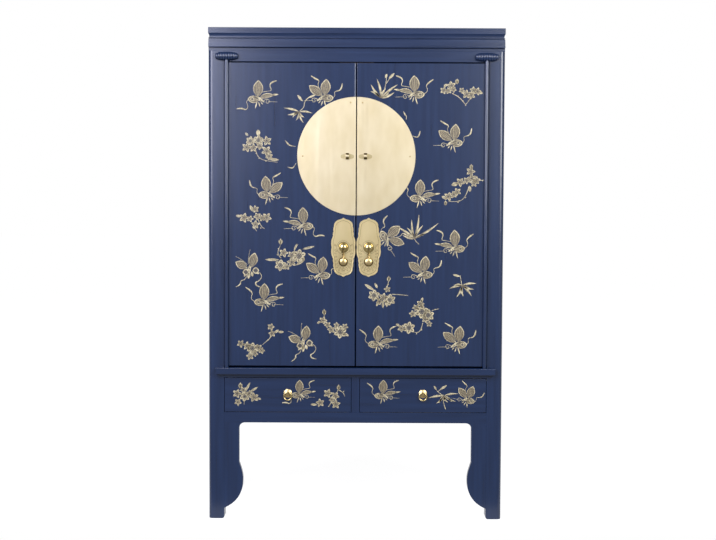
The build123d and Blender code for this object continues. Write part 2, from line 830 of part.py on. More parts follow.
with BuildPart() as drawer_bottom:
    x0, x1 = inner_left - tongue, inner_right + tongue
    board(x0, x1, front_back - tongue, box_back, bottom_low, bottom_low + drawer_bottom_thickness)
write_pair("drawer_bottom", drawer_bottom)

with BuildPart() as drawer_rosette:
    with BuildSketch(turned_plane(-drawer_x, y_front, rosette_z)):
        with BuildLine():
            step = rosette_radius - 2 * rosette_edge
            Polyline((0, rosette_reach), (0, 0), (rosette_radius, 0), (step, rosette_edge))
            ThreePointArc((step, rosette_edge), rosette_shoulder, (0, rosette_reach))
        make_face()
    revolve(axis=Axis((-drawer_x, y_front, rosette_z), outwards))
    # the loop stands on a short stem and the ring passes through it
    with Locations(Location((-drawer_x, loop_y, loop_z), (0, 90, 0))):
        Torus(loop_radius, loop_wire)
    with Locations(Location((-drawer_x, (y_front + loop_y + loop_radius) / 2, loop_z), (90, 0, 0))):
        Cylinder(loop_wire, loop_out - loop_radius)
write_pair("drawer_rosette", drawer_rosette)

with BuildPart() as drawer_ring:
    with Locations(Location((-drawer_x, loop_y, loop_z - ring_radius), (90, 0, 0))):
        Torus(ring_radius, ring_wire)
write_pair("drawer_ring", drawer_ring)
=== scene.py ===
"""A lacquered wedding cabinet with pole-hinged doors, gold painting and pale brass fittings."""

import json
from math import cos, pi, radians, sin, tau

import bmesh
import bpy
from mathutils import Matrix, Vector


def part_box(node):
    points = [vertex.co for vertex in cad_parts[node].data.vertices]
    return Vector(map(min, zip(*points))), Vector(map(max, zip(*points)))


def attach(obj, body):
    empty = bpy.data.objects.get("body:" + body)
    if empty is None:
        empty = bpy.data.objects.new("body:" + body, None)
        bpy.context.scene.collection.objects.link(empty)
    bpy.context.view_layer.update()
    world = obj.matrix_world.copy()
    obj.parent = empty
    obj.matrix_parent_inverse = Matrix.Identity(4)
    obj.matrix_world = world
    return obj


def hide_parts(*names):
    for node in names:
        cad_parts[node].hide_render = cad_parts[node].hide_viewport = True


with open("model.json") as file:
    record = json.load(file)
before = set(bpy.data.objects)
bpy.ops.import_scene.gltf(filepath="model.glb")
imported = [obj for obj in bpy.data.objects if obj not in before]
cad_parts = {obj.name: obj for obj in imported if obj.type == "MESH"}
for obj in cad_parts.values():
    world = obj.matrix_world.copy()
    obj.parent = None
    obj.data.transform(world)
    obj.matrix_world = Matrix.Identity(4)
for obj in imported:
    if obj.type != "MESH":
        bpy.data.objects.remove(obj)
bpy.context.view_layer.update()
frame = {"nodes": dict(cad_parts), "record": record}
mm = 0.001

# ---- Lacquered timber ----
# Posts, rails, panels, doors and drawer fronts are dense hardwood under many thin coats of
# midnight-blue lacquer, brushed along the grain and rubbed to a satin. The arrises are eased
# with a plane before lacquering.


def linear(code):
    """An sRGB hex colour as linear light."""
    parts = [int(code[i:i + 2], 16) / 255 for i in (1, 3, 5)]
    return [c / 12.92 if c <= 0.04045 else ((c + 0.055) / 1.055) ** 2.4 for c in parts] + [1.0]


def add_node(tree, kind, inputs=None, **settings):
    """Adds a shader node; an input is a value or another node's output."""
    node = tree.nodes.new("ShaderNode" + kind)
    for name, value in settings.items():
        setattr(node, name, value)
    for name, value in (inputs or {}).items():
        if isinstance(value, bpy.types.NodeSocket):
            tree.links.new(value, node.inputs[name])
        else:
            node.inputs[name].default_value = value
    return node


def new_material(name):
    """An empty material, with its tree and its Principled shader."""
    material = bpy.data.materials.new(name)
    material.use_nodes = True
    tree = material.node_tree
    tree.nodes.clear()
    shader = add_node(tree, "BsdfPrincipled")
    add_node(tree, "OutputMaterial", {"Surface": shader.outputs["BSDF"]})
    return material, tree, shader


def stretched_noise(tree, along, across_mm, along_mm, detail=3.0):
    """Noise drawn out along one axis of the object, as brush strokes and grain are."""
    place = add_node(tree, "TexCoord").outputs["Object"]
    scale = [1000 / across_mm] * 3
    scale["xyz".index(along)] = 1000 / along_mm
    place = add_node(tree, "Mapping", {"Vector": place, "Scale": scale}).outputs["Vector"]
    noise = add_node(tree, "TexNoise", {"Vector": place, "Scale": 1.0, "Detail": detail})
    return noise.outputs["Fac"]


def lacquer(along):
    """Satin nitrocellulose lacquer: deep even colour, faint streaks where the brush ran, and a
    soft sheen that shows the open pores of the wood only as a very fine unevenness."""
    material, tree, shader = new_material(f"brushed_satin_lacquer_{along}")
    streaks = stretched_noise(tree, along, across_mm=14, along_mm=260)
    pores = stretched_noise(tree, along, across_mm=1.6, along_mm=40, detail=2.0)
    tint = add_node(tree, "ValToRGB", {"Fac": streaks})
    tint.color_ramp.elements[0].position = 0.3
    tint.color_ramp.elements[0].color = linear("#071731")
    tint.color_ramp.elements[1].position = 0.75
    tint.color_ramp.elements[1].color = linear("#0b1d3a")
    tree.links.new(tint.outputs["Color"], shader.inputs["Base Color"])
    gloss = add_node(tree, "MapRange", {"Value": streaks, "To Min": 0.21, "To Max": 0.27})
    tree.links.new(gloss.outputs["Result"], shader.inputs["Roughness"])
    bump = add_node(tree, "Bump", {"Height": pores, "Strength": 0.12, "Distance": 0.0004})
    tree.links.new(bump.outputs["Normal"], shader.inputs["Normal"])
    shader.inputs["IOR"].default_value = 1.5
    return material


lacquers = {along: lacquer(along) for along in "xyz"}
bodies = frame["record"]["behaviour"]["bodies"]
body_of = {node: body for body, nodes in bodies.items() for node in nodes}
one_corner = 0.00001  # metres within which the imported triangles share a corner
one_face = radians(0.5)  # triangles that meet flatter than this are one face
sharp_corner = radians(40)  # an edge sharper than this is an arris, and gets planed
crease = radians(35)  # shading breaks at an edge sharper than this


def eased(node, material, easing_mm):
    """A finished piece with the shape of a frame node, its arrises eased, in place of the node."""
    name = f"{node}_finished"
    bm = bmesh.new()
    bm.from_mesh(frame["nodes"][node].data)
    bmesh.ops.remove_doubles(bm, verts=bm.verts, dist=one_corner)
    bmesh.ops.dissolve_limit(bm, angle_limit=one_face, verts=bm.verts, edges=bm.edges)
    if easing_mm:
        arrises = [e for e in bm.edges if e.is_manifold and e.calc_face_angle() > sharp_corner]
        bmesh.ops.bevel(bm, geom=arrises, offset=easing_mm * mm, offset_type="OFFSET", profile=0.5,
                        segments=2, affect="EDGES", clamp_overlap=True, material=-1)
    mesh = bpy.data.meshes.new(name)
    bm.to_mesh(mesh)
    bm.free()
    mesh.materials.append(material)
    mesh.shade_smooth()
    mesh.set_sharp_from_angle(angle=crease)
    piece = bpy.data.objects.new(name, mesh)
    bpy.context.collection.objects.link(piece)
    piece.modifiers.new("flat faces", "WEIGHTED_NORMAL").keep_sharp = True
    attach(piece, body_of[node])
    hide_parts(node)
    return piece


grain = {
    "x": ["front_top_rail", "rear_top_rail", "front_bottom_rail", "rear_bottom_rail", "door_ledge",
          "crown_front_moulding", "crown_cap", "top_board", "left_drawer_front",
          "right_drawer_front", "left_pivot_boss", "right_pivot_boss"],
    "y": ["side_top_rails", "side_bottom_rails", "crown_side_mouldings"],
    "z": ["left_front_post", "right_front_post", "left_rear_post", "right_rear_post",
          "drawer_divider", "left_side_panel", "right_side_panel", "left_door_panel",
          "right_door_panel", "left_door_pole", "right_door_pole", "left_leg_bracket",
          "right_leg_bracket"],
}
# thin and ribbed pieces are sanded by hand and keep crisper arrises
usual_easing = 0.8  # mm
fine = {"left_pivot_boss": 0.0, "right_pivot_boss": 0.0, "left_door_pole": 0.3,
        "right_door_pole": 0.3, "crown_front_moulding": 0.4, "crown_side_mouldings": 0.4}
for along, nodes in grain.items():
    for node in nodes:
        eased(node, lacquers[along], easing_mm=fine.get(node, usual_easing))

# ---- Inside timber ----
# Shelves, bearers, floor, runners, drawer boxes and the back are plain sawn and planed boards,
# stained dark and sealed with one thin coat, so the grain stays open.


def stained(along):
    """Planed softwood under a dark stain: brown-black with paler early wood between the rings,
    nearly matt."""
    material, tree, shader = new_material(f"stained_planed_board_{along}")
    rings = stretched_noise(tree, along, across_mm=9, along_mm=300, detail=4.0)
    pores = stretched_noise(tree, along, across_mm=1.2, along_mm=25, detail=2.0)
    tint = add_node(tree, "ValToRGB", {"Fac": rings})
    tint.color_ramp.elements[0].position = 0.35
    tint.color_ramp.elements[0].color = linear("#2a211d")
    tint.color_ramp.elements[1].position = 0.7
    tint.color_ramp.elements[1].color = linear("#4a3a2e")
    tree.links.new(tint.outputs["Color"], shader.inputs["Base Color"])
    bump = add_node(tree, "Bump", {"Height": pores, "Strength": 0.3, "Distance": 0.0004})
    tree.links.new(bump.outputs["Normal"], shader.inputs["Normal"])
    shader.inputs["Roughness"].default_value = 0.6
    return material


inside = {
    "x": ["floor_board", "shelves", "crown_back_board", "door_stop", "back_panel",
          "left_drawer_back", "right_drawer_back"],
    "y": ["floor_rails", "drawer_runners", "shelf_bearers", "left_drawer_sides",
          "right_drawer_sides", "left_drawer_bottom", "right_drawer_bottom"],
}
for along, nodes in inside.items():
    board = stained(along)
    for node in nodes:
        eased(node, board, easing_mm=0.6)

# ---- Brass ----
# The round plate, pull plates, staples, nails, knobs, drops and rings are pale yellow brass. Sheet
# is brushed with the grain upright; cast and turned pieces are polished.


def brass(name, dull, bright, roughness, line_mm, relief):
    """Pale brass: a warm, light metal. Brushing gives fine upright lines that spread reflections
    sideways, and polishing leaves a tight gloss; both cloud a little as the metal ages."""
    material, tree, shader = new_material(name)
    lines = stretched_noise(tree, "z", across_mm=line_mm, along_mm=180, detail=4.0)
    cloud = stretched_noise(tree, "z", across_mm=50, along_mm=110, detail=2.0)
    tint = add_node(tree, "ValToRGB", {"Fac": cloud})
    tint.color_ramp.elements[0].position = 0.3
    tint.color_ramp.elements[0].color = linear(dull)
    tint.color_ramp.elements[1].position = 0.7
    tint.color_ramp.elements[1].color = linear(bright)
    tree.links.new(tint.outputs["Color"], shader.inputs["Base Color"])
    gloss = add_node(tree, "MapRange", {"Value": lines, "To Min": roughness * 0.8,
                                        "To Max": roughness * 1.2})
    tree.links.new(gloss.outputs["Result"], shader.inputs["Roughness"])
    bump = add_node(tree, "Bump", {"Height": lines, "Strength": relief, "Distance": 0.0002})
    tree.links.new(bump.outputs["Normal"], shader.inputs["Normal"])
    shader.inputs["Metallic"].default_value = 1.0
    return material


brushed_brass = brass("brushed_pale_brass_sheet", "#d4c5a0", "#dfd2b2",
                      roughness=0.32, line_mm=1.6, relief=0.2)
pressed_brass = brass("pressed_yellow_brass_plate", "#bfae82", "#ccbc91",
                      roughness=0.34, line_mm=2.4, relief=0.3)
polished_brass = brass("polished_cast_brass", "#a99869", "#c4b485",
                       roughness=0.19, line_mm=6.0, relief=0.05)
turned_brass = brass("satin_turned_brass", "#9d8a60", "#b39f74",
                     roughness=0.36, line_mm=1.2, relief=0.1)
# dark brass: tarnish in the chased cuts, and painted shade on the staples, knob slots and drops
tarnish_and_shade_brass = brass("cast_brass_tarnish_and_painted_shade", "#4a3c20", "#6b5a34",
                        roughness=0.35, line_mm=4.0, relief=0.2)
# a duller, darker brass for the painted shadow each staple casts on the disc
shadow_brass = brass("brass_sheet_painted_shadow", "#a99a74", "#c3b48c",
                      roughness=0.36, line_mm=1.2, relief=0.4)


def refinish(piece, material, chosen):
    """Gives the chosen faces of a piece, picked by middle and normal, another material: a second
    finish, or painted shade.
    """
    piece.data.materials.append(material)
    for face in piece.data.polygons:
        if chosen(face.center, face.normal):
            face.material_index = len(piece.data.materials) - 1


staple_shade_tilt = 0.35  # faces of a staple that look up or down by more than this are its bends, and get painted shade
bulb_drop = 51 * mm  # from the middle of a pull plate down to the middle of the drop's bulb
dome_radius = 16.2 * mm  # a knob's dome, inside its flange
slot_half = 3.4 * mm  # half the width of the slot in the knob
slot_floor = 5 * mm  # the floor of the slot lies this near the middle of the plate's thickness
bulb_unshaded_radius = 12.5 * mm  # painted shade on a drop lies outside this radius round the bulb's middle
neck_low = 10 * mm  # the neck starts this far above the middle of the bulb
neck_shade_reach = 1.2 * mm  # its painted shade reaches this far right of its middle
rim_shade_reach = 14 * mm  # and this much further on the rim of the bulb
for side in ("left", "right"):
    eased(f"{side}_disc_half", brushed_brass, easing_mm=0.6)
    eased(f"{side}_pull_plate", pressed_brass, easing_mm=0.4)
    for kind in ("pull_pin", "drawer_ring"):
        eased(f"{side}_{kind}", polished_brass, easing_mm=0.0)
    for kind in ("disc_nails", "drawer_rosette"):
        eased(f"{side}_{kind}", turned_brass, easing_mm=0.0)
    # painted shade darkens the faces of a staple that look up or down
    refinish(eased(f"{side}_lock_staple", brushed_brass, easing_mm=0.5), tarnish_and_shade_brass,
             lambda middle, normal: abs(normal.z) > staple_shade_tilt)
    low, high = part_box(f"{side}_pull_plate")
    plate = (Vector(low) + Vector(high)) / 2
    bulb = plate - Vector((0, 0, bulb_drop))
    # the flange of a knob is sheet like its plate; painted shade darkens its slot, and the neck
    # and the rim of the drop's bulb except on their right
    knob = eased(f"{side}_pull_knob", polished_brass, easing_mm=0.0)
    refinish(knob, pressed_brass, lambda middle, normal: (middle - plate).xz.length > dome_radius)
    refinish(knob, tarnish_and_shade_brass, lambda middle, normal: abs(middle.x - plate.x) < slot_half
             and middle.z < plate.z - mm
             and (abs(normal.x) > 0.9 or middle.y > plate.y - slot_floor))
    drop = eased(f"{side}_pull_drop", turned_brass, easing_mm=0.0)
    refinish(drop, tarnish_and_shade_brass, lambda middle, normal: (middle - bulb).xz.length > bulb_unshaded_radius
             and middle.x < plate.x + neck_shade_reach
             + (rim_shade_reach if middle.z < bulb.z + neck_low else 0))

# ---- Gold painting ----
# Butterflies and sprays of blossom are painted on the doors and drawer fronts with bronze powder
# in size: brown-gold washes inside pale cream-gold outlines, each stroke standing a hair proud.


def size_paint(name, low, high, roughness, grain_mm):
    """Bronze powder bound in size: a soft, broken, hardly metallic colour, brighter where the
    brush left more of it."""
    material, tree, shader = new_material(name)
    body = stretched_noise(tree, "z", across_mm=grain_mm, along_mm=grain_mm * 1.6)
    tint = add_node(tree, "ValToRGB", {"Fac": body})
    tint.color_ramp.elements[0].position = 0.36
    tint.color_ramp.elements[0].color = linear(low)
    tint.color_ramp.elements[1].position = 0.64
    tint.color_ramp.elements[1].color = linear(high)
    tree.links.new(tint.outputs["Color"], shader.inputs["Base Color"])
    bump = add_node(tree, "Bump", {"Height": body, "Strength": 0.3, "Distance": 0.0003})
    tree.links.new(bump.outputs["Normal"], shader.inputs["Normal"])
    shader.inputs["Roughness"].default_value = roughness
    return material


paints = [size_paint("cream_gold_outline", "#6f6750", "#a1987a", roughness=0.5, grain_mm=5.0),
          size_paint("brown_gold_wash", "#3a3225", "#5c523d", roughness=0.55, grain_mm=4.0),
          size_paint("umber_wash", "#1c1d27", "#342f2a", roughness=0.55, grain_mm=4.0)]
palette = paints + [tarnish_and_shade_brass, shadow_brass]  # the brasses are for the chased cuts on the pull plates and the painted staple shadows on the disc
OUTLINE, WASH, UMBER, TARNISH, STAPLE_SHADOW = range(5)
stroke_height = 0.16  # of a brush stroke's width
sink = 0.1  # mm that every stroke goes into the lacquer
# how high each coat stands over the lacquer, in mm, later coats over earlier ones
outline_coat, dab_coat, bud_coat, wash_coat = 0.3, 0.35, 0.38, 0.4
ring_coat, dot_coat, eye_coat, stamen_coat = 0.42, 0.46, 0.48, 0.52


class Motif:
    """A painted motif, drawn in millimetres right and up from its own middle on a node's face."""

    def __init__(self, name, node, right, up, turn=0.0, flip=False, size=1.0):
        self.name, self.node = name, node
        forward = [face for face in frame["nodes"][node].data.polygons if face.normal.y < -0.99]
        surface = max(forward, key=lambda face: face.area).center.y
        across = -size if flip else size
        self.place = (Matrix.Translation((right * mm, surface, up * mm))
                      @ Matrix.Rotation(radians(turn), 4, "Y")
                      @ Matrix.Diagonal((across * mm, mm, size * mm, 1)))
        self.bm = bmesh.new()
        self.brush = bpy.data.curves.new(name, "CURVE")
        self.brush.dimensions = "3D"
        self.brush.bevel_depth = 0.5
        self.brush.bevel_resolution = 1
        self.brush.resolution_u = 5
        self.brush.use_fill_caps = True
        for paint in palette:
            self.brush.materials.append(paint)

    def leaf(self, x0, z0, x1, z1, width, colour=OUTLINE, rise=outline_coat, belly=1.0, point=0.8,
             bow=0.0):
        """A flat leaf, petal or wing from its foot to its tip; bow bends it to its left."""
        ring = bmesh.ops.create_circle(self.bm, cap_ends=True, segments=16, radius=1)["verts"]
        foot = Vector((x0, sink, z0))
        along = Vector((x1 - x0, 0, z1 - z0))
        across = Vector((-along.z, 0, along.x)).normalized()
        for vert in ring:
            t = (1 - vert.co.x) / 2
            swell = max(0.0, sin(pi * t ** belly)) ** point * width / 2
            side = 0 if abs(vert.co.y) < 0.01 else 1 if vert.co.y > 0 else -1
            vert.co = foot + along * t + across * (side * swell + bow * sin(pi * t))
        flat = ring[0].link_faces[0]
        raised = bmesh.ops.extrude_face_region(self.bm, geom=[flat])["geom"]
        raised = [v for v in raised if isinstance(v, bmesh.types.BMVert)]
        bmesh.ops.translate(self.bm, vec=(0, -rise - sink, 0), verts=raised)
        for face in {face for vert in ring + raised for face in vert.link_faces}:
            face.material_index = colour

    def stroke(self, *points, colour=OUTLINE, lift=0.0):
        """A round brush stroke through points of (right, up, width)."""
        line = self.brush.splines.new("NURBS")
        line.points.add(len(points) - 1)
        for point, (x, z, width) in zip(line.points, points):
            point.co = (x, -lift / stroke_height, z, 1)
            point.radius = width
        line.use_endpoint_u = True
        line.order_u = 3
        line.material_index = colour

    def wing(self, x0, z0, x1, z1, width, belly=1.1, point=0.85, bow=0.0):
        """A wing: pale outline, brown-gold wash inside and fine pale veins."""
        self.leaf(x0, z0, x1, z1, width, OUTLINE, outline_coat, belly, point, bow)
        rim = 2.3
        inner = 1 - 1.8 * rim / ((x1 - x0) ** 2 + (z1 - z0) ** 2) ** 0.5
        x2, z2 = x0 + (x1 - x0) * inner, z0 + (z1 - z0) * inner
        self.leaf(x0, z0, x2, z2, width - 2 * rim, WASH, wash_coat, belly, point, bow)
        across = Vector((z0 - z2, x2 - x0)).normalized() * width * 0.24
        for spread in (-1.5, -1, -0.5, 0, 0.5, 1, 1.5):
            pale = spread in (-1, 0, 1)
            self.stroke((x0, z0, 0.8), (x0 + (x2 - x0) * 0.5 + across.x * spread,
                                        z0 + (z2 - z0) * 0.5 + across.y * spread, 1.3),
                        (x0 + (x2 - x0) * 0.88 + across.x * spread * 0.6,
                         z0 + (z2 - z0) * 0.88 + across.y * spread * 0.6, 0.6),
                        colour=OUTLINE if pale else UMBER,
                        lift=ring_coat if pale else wash_coat)

    def disc(self, x, z, radius, colour=OUTLINE, rise=dab_coat):
        """A round dab."""
        self.leaf(x - radius, z, x + radius, z, 2 * radius, colour, rise)

    def ring(self, x, z, radius, rim, colour=UMBER):
        """A ringed eye: a pale dab with a darker one inside."""
        self.disc(x, z, radius, OUTLINE, ring_coat)
        self.disc(x, z, radius - rim, colour, eye_coat)

    def blossom(self, x, z, radius, turn=0.0):
        """Five pointed petals, brown towards a dark eye."""
        for k in range(5):
            a = radians(turn) + tau * k / 5
            dx, dz = radius * cos(a), radius * sin(a)
            self.leaf(x + 0.1 * dx, z + 0.1 * dz, x + 1.14 * dx, z + 1.14 * dz, 0.64 * radius,
                      point=1.05)
            self.leaf(x + 0.12 * dx, z + 0.12 * dz, x + 0.84 * dx, z + 0.84 * dz, 0.32 * radius,
                      WASH, wash_coat)
        self.disc(x, z, 0.17 * radius, UMBER, dot_coat)

    def rosette(self, x, z, radius):
        """A broad open flower: pointed petals round a wide dark heart with pale stamens."""
        for k in range(6):
            a = 0.4 + tau * k / 6
            dx, dz = radius * cos(a), radius * sin(a)
            self.leaf(x + 0.3 * dx, z + 0.3 * dz, x + 1.25 * dx, z + 1.25 * dz, 0.78 * radius,
                      point=0.95)
            self.leaf(x + 0.5 * dx, z + 0.5 * dz, x + dx, z + dz, 0.3 * radius, WASH, wash_coat)
            self.disc(x + 0.28 * dx, z + 0.28 * dz, 0.06 * radius, OUTLINE, stamen_coat)
        self.ring(x, z, 0.62 * radius, 0.1 * radius)

    def finish(self):
        """Joins the strokes and washes in one mesh on its panel."""
        if self.brush.splines:
            line = bpy.data.objects.new(self.name, self.brush)
            drawn = bpy.data.meshes.new_from_object(line)
            drawn.transform(Matrix.Diagonal((1, stroke_height, 1, 1)))
            self.bm.from_mesh(drawn)
            bpy.data.objects.remove(line)
            bpy.data.meshes.remove(drawn)
        bpy.data.curves.remove(self.brush)
        self.bm.transform(self.place)
        bmesh.ops.recalc_face_normals(self.bm, faces=self.bm.faces)
        mesh = bpy.data.meshes.new(self.name)
        self.bm.to_mesh(mesh)
        self.bm.free()
        for paint in palette:
            mesh.materials.append(paint)
        piece = bpy.data.objects.new(self.name, mesh)
        bpy.context.collection.objects.link(piece)
        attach(piece, body_of[self.node])


def butterfly(name, node, right, up, turn=0.0, flip=False, size=1.0, folded=False, raised=False):
    """A butterfly from the side: one wing upright and one spread, or folded back to a slender
    point, with ribbons at its head, hanging or raised, and its back that end in leaf blades."""
    m = Motif(name, node, right, up, turn, flip, 0.93 * size)
    if folded and raised:
        m.stroke((-26, -4, 1.8), (-42, 4, 1.8), (-43, 18, 1.8), (-37, 30, 3), (-51, 44, 8.5),
                 (-65, 53, 3))
    elif folded:
        m.stroke((-24, -2, 1.8), (-41, -9, 1.8), (-30, -31, 1.8), (-39, -46, 3), (-58, -37, 8.5),
                 (-75, -41, 3))
    if folded:
        m.stroke((16, 22, 1.8), (44, 27, 1.8), (59, 29, 2.2), (49, 50, 3), (62, 63, 8.5),
                 (77, 66, 3))
        m.wing(14, 2, 68, 12, 19, belly=0.8, bow=3)
        m.leaf(54, 11, 84, 15, 7)
        m.wing(5, 2, 8, 68, 39)
    else:
        m.stroke((-30, -3, 1.8), (-40, 3, 1.8), (-34, 21, 2), (-56, 24, 4), (-64, 36, 8.5),
                 (-66, 52, 3))
        m.stroke((20, 30, 1.8), (29, 46, 1.8), (20, 62, 2.6), (37, 69, 8.5), (53, 80, 3))
        m.wing(8, 4, 60, 43, 33)
        m.wing(1, 4, -6, 68, 38)
    m.wing(8, -6, -32, -3, 28, belly=0.9, point=0.5)
    m.ring(-15, -4, 8, 3)
    m.disc(-15, -4, 2.5)
    m.leaf(-8, 8, 31, -15, 12, point=0.7)
    for k in range(5):
        m.disc(-3 + 6 * k, 4 - 4 * k, 2.2, UMBER, dot_coat)
    m.leaf(4, -9, -5, -41, 4.5)
    m.leaf(8, -13, 14, -33, 4)
    m.leaf(16, -14, 25, -24, 3.5)
    m.stroke((28, -9, 2.4), (40, -2, 2.2), (51, -8, 2), (45, -21, 2), (33, -15, 2), (41, -8, 1.4))
    m.stroke((44, -13, 1.6), (60, -13, 1.4), (80, -14, 1))
    m.finish()


def open_butterfly(name, node, right, up, turn=0.0, flip=False, size=1.0):
    """A butterfly from above: two fore wings, two round hind wings with eyes and curling tails."""
    m = Motif(name, node, right, up, turn, flip, size)
    m.stroke((-14, -28, 1.8), (-20, -42, 2), (-36, -44, 3), (-36, -60, 6), (-53, -67, 2))
    m.stroke((30, -14, 1.8), (43, -26, 2), (30, -46, 3), (16, -50, 5), (20, -64, 6), (36, -67, 2))
    m.stroke((-8, 14, 1.6), (-10, 34, 1.5), (-2, 66, 1.2))
    m.stroke((-12, 12, 1.6), (-28, 30, 1.5), (-54, 42, 1.2))
    m.wing(3, 2, 15, 55, 32)
    m.wing(-11, 0, -54, 22, 29)
    for x, z in ((-24, -30), (-9, -38), (7, -30), (30, -20)):
        m.leaf(x * 0.4, z * 0.4, x, z, 10)
    m.leaf(-12, -30, 0, 16, 12, point=0.7)
    for x, z in ((-17, -14), (18, -8)):
        m.ring(x, z, 12, 4)
        m.disc(x, z, 3)
    for k in range(4):
        m.disc(-2 - 2 * k, 8 - 9 * k, 2.5, WASH, dot_coat)
    m.finish()


def spray(name, node, right, up, blossoms, stems=(), leaves=(), rosettes=(), buds=()):
    """A spray: small pointed blossoms on thin stems, with broad open flowers, buds and leaves."""
    m = Motif(name, node, right, up)
    for stem in stems:
        for x, z in stem[1:-1]:
            m.disc(x, z, 2.2)
        m.stroke(*[(x, z, 3 - 1.4 * k / (len(stem) - 1)) for k, (x, z) in enumerate(stem)])
    for x0, z0, x1, z1, width in leaves:
        m.leaf(x0, z0, x1, z1, width)
        m.stroke((x0, z0, 1.6), ((x0 + x1) / 2, (z0 + z1) / 2, 1.6), (x1, z1, 0.8), colour=WASH,
                 lift=outline_coat)
    for x, z, radius in rosettes:
        m.rosette(x, z, radius)
    for x, z, radius in buds:
        for lean in (-0.5, 0.0, 0.5):
            m.leaf(x, z - radius, x + lean * radius, z + radius * (1.2 - abs(lean)), 0.8 * radius)
        m.leaf(x, z - 0.8 * radius, x, z + 0.5 * radius, 0.4 * radius, WASH, bud_coat)
    for k, (x, z, radius) in enumerate(blossoms):
        m.blossom(x, z, radius, turn=29 * k)
    m.finish()


def tuft(name, node, right, up, foot, tips, width, stems=(), leaves=(), turn=0.0):
    """A tuft of grass or bamboo: pointed blades that fan out of one foot, each with a vein."""
    m = Motif(name, node, right, up, turn)
    for stem in stems:
        m.stroke(*stem)
    for k, (x, z) in enumerate(tips):
        m.leaf(*foot, x, z, 0.75 * width, belly=0.85, point=0.9, bow=3 if k % 2 else -3)
        m.stroke((*foot, 2), ((foot[0] + x) / 2, (foot[1] + z) / 2 + (2 if k % 2 else -2), 1.8),
                 (0.2 * foot[0] + 0.8 * x, 0.2 * foot[1] + 0.8 * z, 0.8), colour=WASH,
                 lift=outline_coat)
    for x0, z0, x1, z1, breadth in leaves:
        m.leaf(x0, z0, x1, z1, breadth)
    m.finish()


L, R = "left_door_panel", "right_door_panel"
for k, (node, right, up, flip, folded, raised) in enumerate([
        (L, -354, 1501, False, True, False), (L, -112, 1506, True, False, False),
        (L, -317, 1164, False, False, False), (L, -182, 1054, True, True, False),
        (L, -121, 879, True, False, False), (L, -332, 783, False, True, True),
        (R, 210, 1520, True, True, True), (R, 346, 1350, True, False, False),
        (R, 220, 1154, False, True, True), (R, 357, 976, True, True, True),
        (R, 243, 883, True, False, False), (R, 74, 634, False, True, True),
        (R, 367, 634, True, False, False)]):
    butterfly(f"painted_butterfly_{k + 1}", node, right, up, flip=flip, folded=folded,
              raised=raised)
butterfly("painted_butterfly_14", R, 107, 1011, turn=55)
open_butterfly("painted_butterfly_15", L, -183, 640, turn=-6)
open_butterfly("painted_butterfly_16", L, -374, 900)

spray("painted_spray_1", L, -344, 1331,
      [(-44, -3, 16), (27, 20, 16), (26, -16, 17), (-20, -5, 14), (3, 1, 12)],
      stems=[[(-14, -7), (-10, -24), (0, -41), (24, -51), (65, -55)]],
      leaves=[(-3, 37, -4, 60, 15), (-39, 37, -49, 49, 8), (34, -44, 70, -47, 10)],
      rosettes=[(-3, 22, 15), (-31, 20, 13), (35, -34, 11)])
spray("painted_spray_2", L, -364, 1079,
      [(-34, 0, 16), (7, 31, 12), (47, 1, 16), (7, -24, 14), (14, 5, 13), (-12, -4, 11),
       (30, -1, 11)],
      stems=[[(7, -24), (2, -38), (12, -47)], [(14, 2), (26, -36), (40, -38)]],
      leaves=[(-2, 22, -12, 44, 11), (-46, 4, -62, 8, 9)])
spray("painted_spray_3", L, -350, 629,
      [(48, 62, 12), (52, 38, 12), (-59, 1, 13), (-37, -6, 14), (4, -13, 13), (15, -23, 11),
       (-26, -43, 13), (-8, -34, 10)],
      stems=[[(52, 31), (40, 16), (18, -2)], [(-10, -14), (-18, -28), (-26, -43)]],
      leaves=[(74, 44, 94, 44, 9), (60, 40, 76, 52, 9)], rosettes=[(-18, -15, 17)])
spray("painted_spray_4", L, -72, 689,
      [(-44, 26, 13), (-15, -7, 13), (34, 4, 11), (4, 9, 10), (-28, 10, 11)],
      stems=[[(-40, 44), (-44, 26), (-20, 4), (10, -30)]],
      leaves=[(30, -18, 48, -30, 9), (-52, 22, -66, 16, 8)],
      rosettes=[(17, -15, 19)], buds=[(-40, 55, 10)])
spray("painted_spray_5", R, 368, 1528,
      [(-61, 3, 12), (-34, 20, 15), (3, 3, 10), (20, -10, 15), (37, -14, 13), (58, 0, 13),
       (-44, 2, 11), (-26, 6, 10), (44, 4, 12)],
      stems=[[(-31, -7), (-10, -17), (7, -34), (17, -48), (27, -34), (37, -20)]],
      leaves=[(-60, 14, -50, 26, 9), (62, -4, 78, -6, 9)], buds=[(-14, 34, 9)])
spray("painted_spray_6", R, 395, 1198,
      [(10, 48, 15), (14, 24, 15), (-27, 10, 15), (31, 17, 13), (-37, -24, 13), (-68, -41, 15),
       (-50, -34, 12), (-4, 16, 12), (22, 6, 12)],
      stems=[[(3, -10), (-7, -44), (-34, -61), (-68, -58)], [(31, 17), (52, 16), (64, 20)]],
      leaves=[(-34, 6, -58, 0, 14), (-76, -48, -92, -40, 10), (6, -2, 8, -24, 12)],
      buds=[(12, 64, 9), (-78, -64, 8)])
spray("painted_spray_7", R, 217, 726,
      [(13, 50, 13), (-14, 14, 12), (-54, -38, 13), (45, -22, 10), (-4, 36, 11), (30, -6, 11)],
      stems=[[(22, -18), (18, -43), (0, -57), (-25, -47)], [(54, 25), (66, 30), (79, 32)]],
      leaves=[(-60, -30, -74, -22, 8), (16, 56, 22, 72, 9)],
      rosettes=[(18, 22, 20), (41, 9, 18), (-27, -36, 18)])
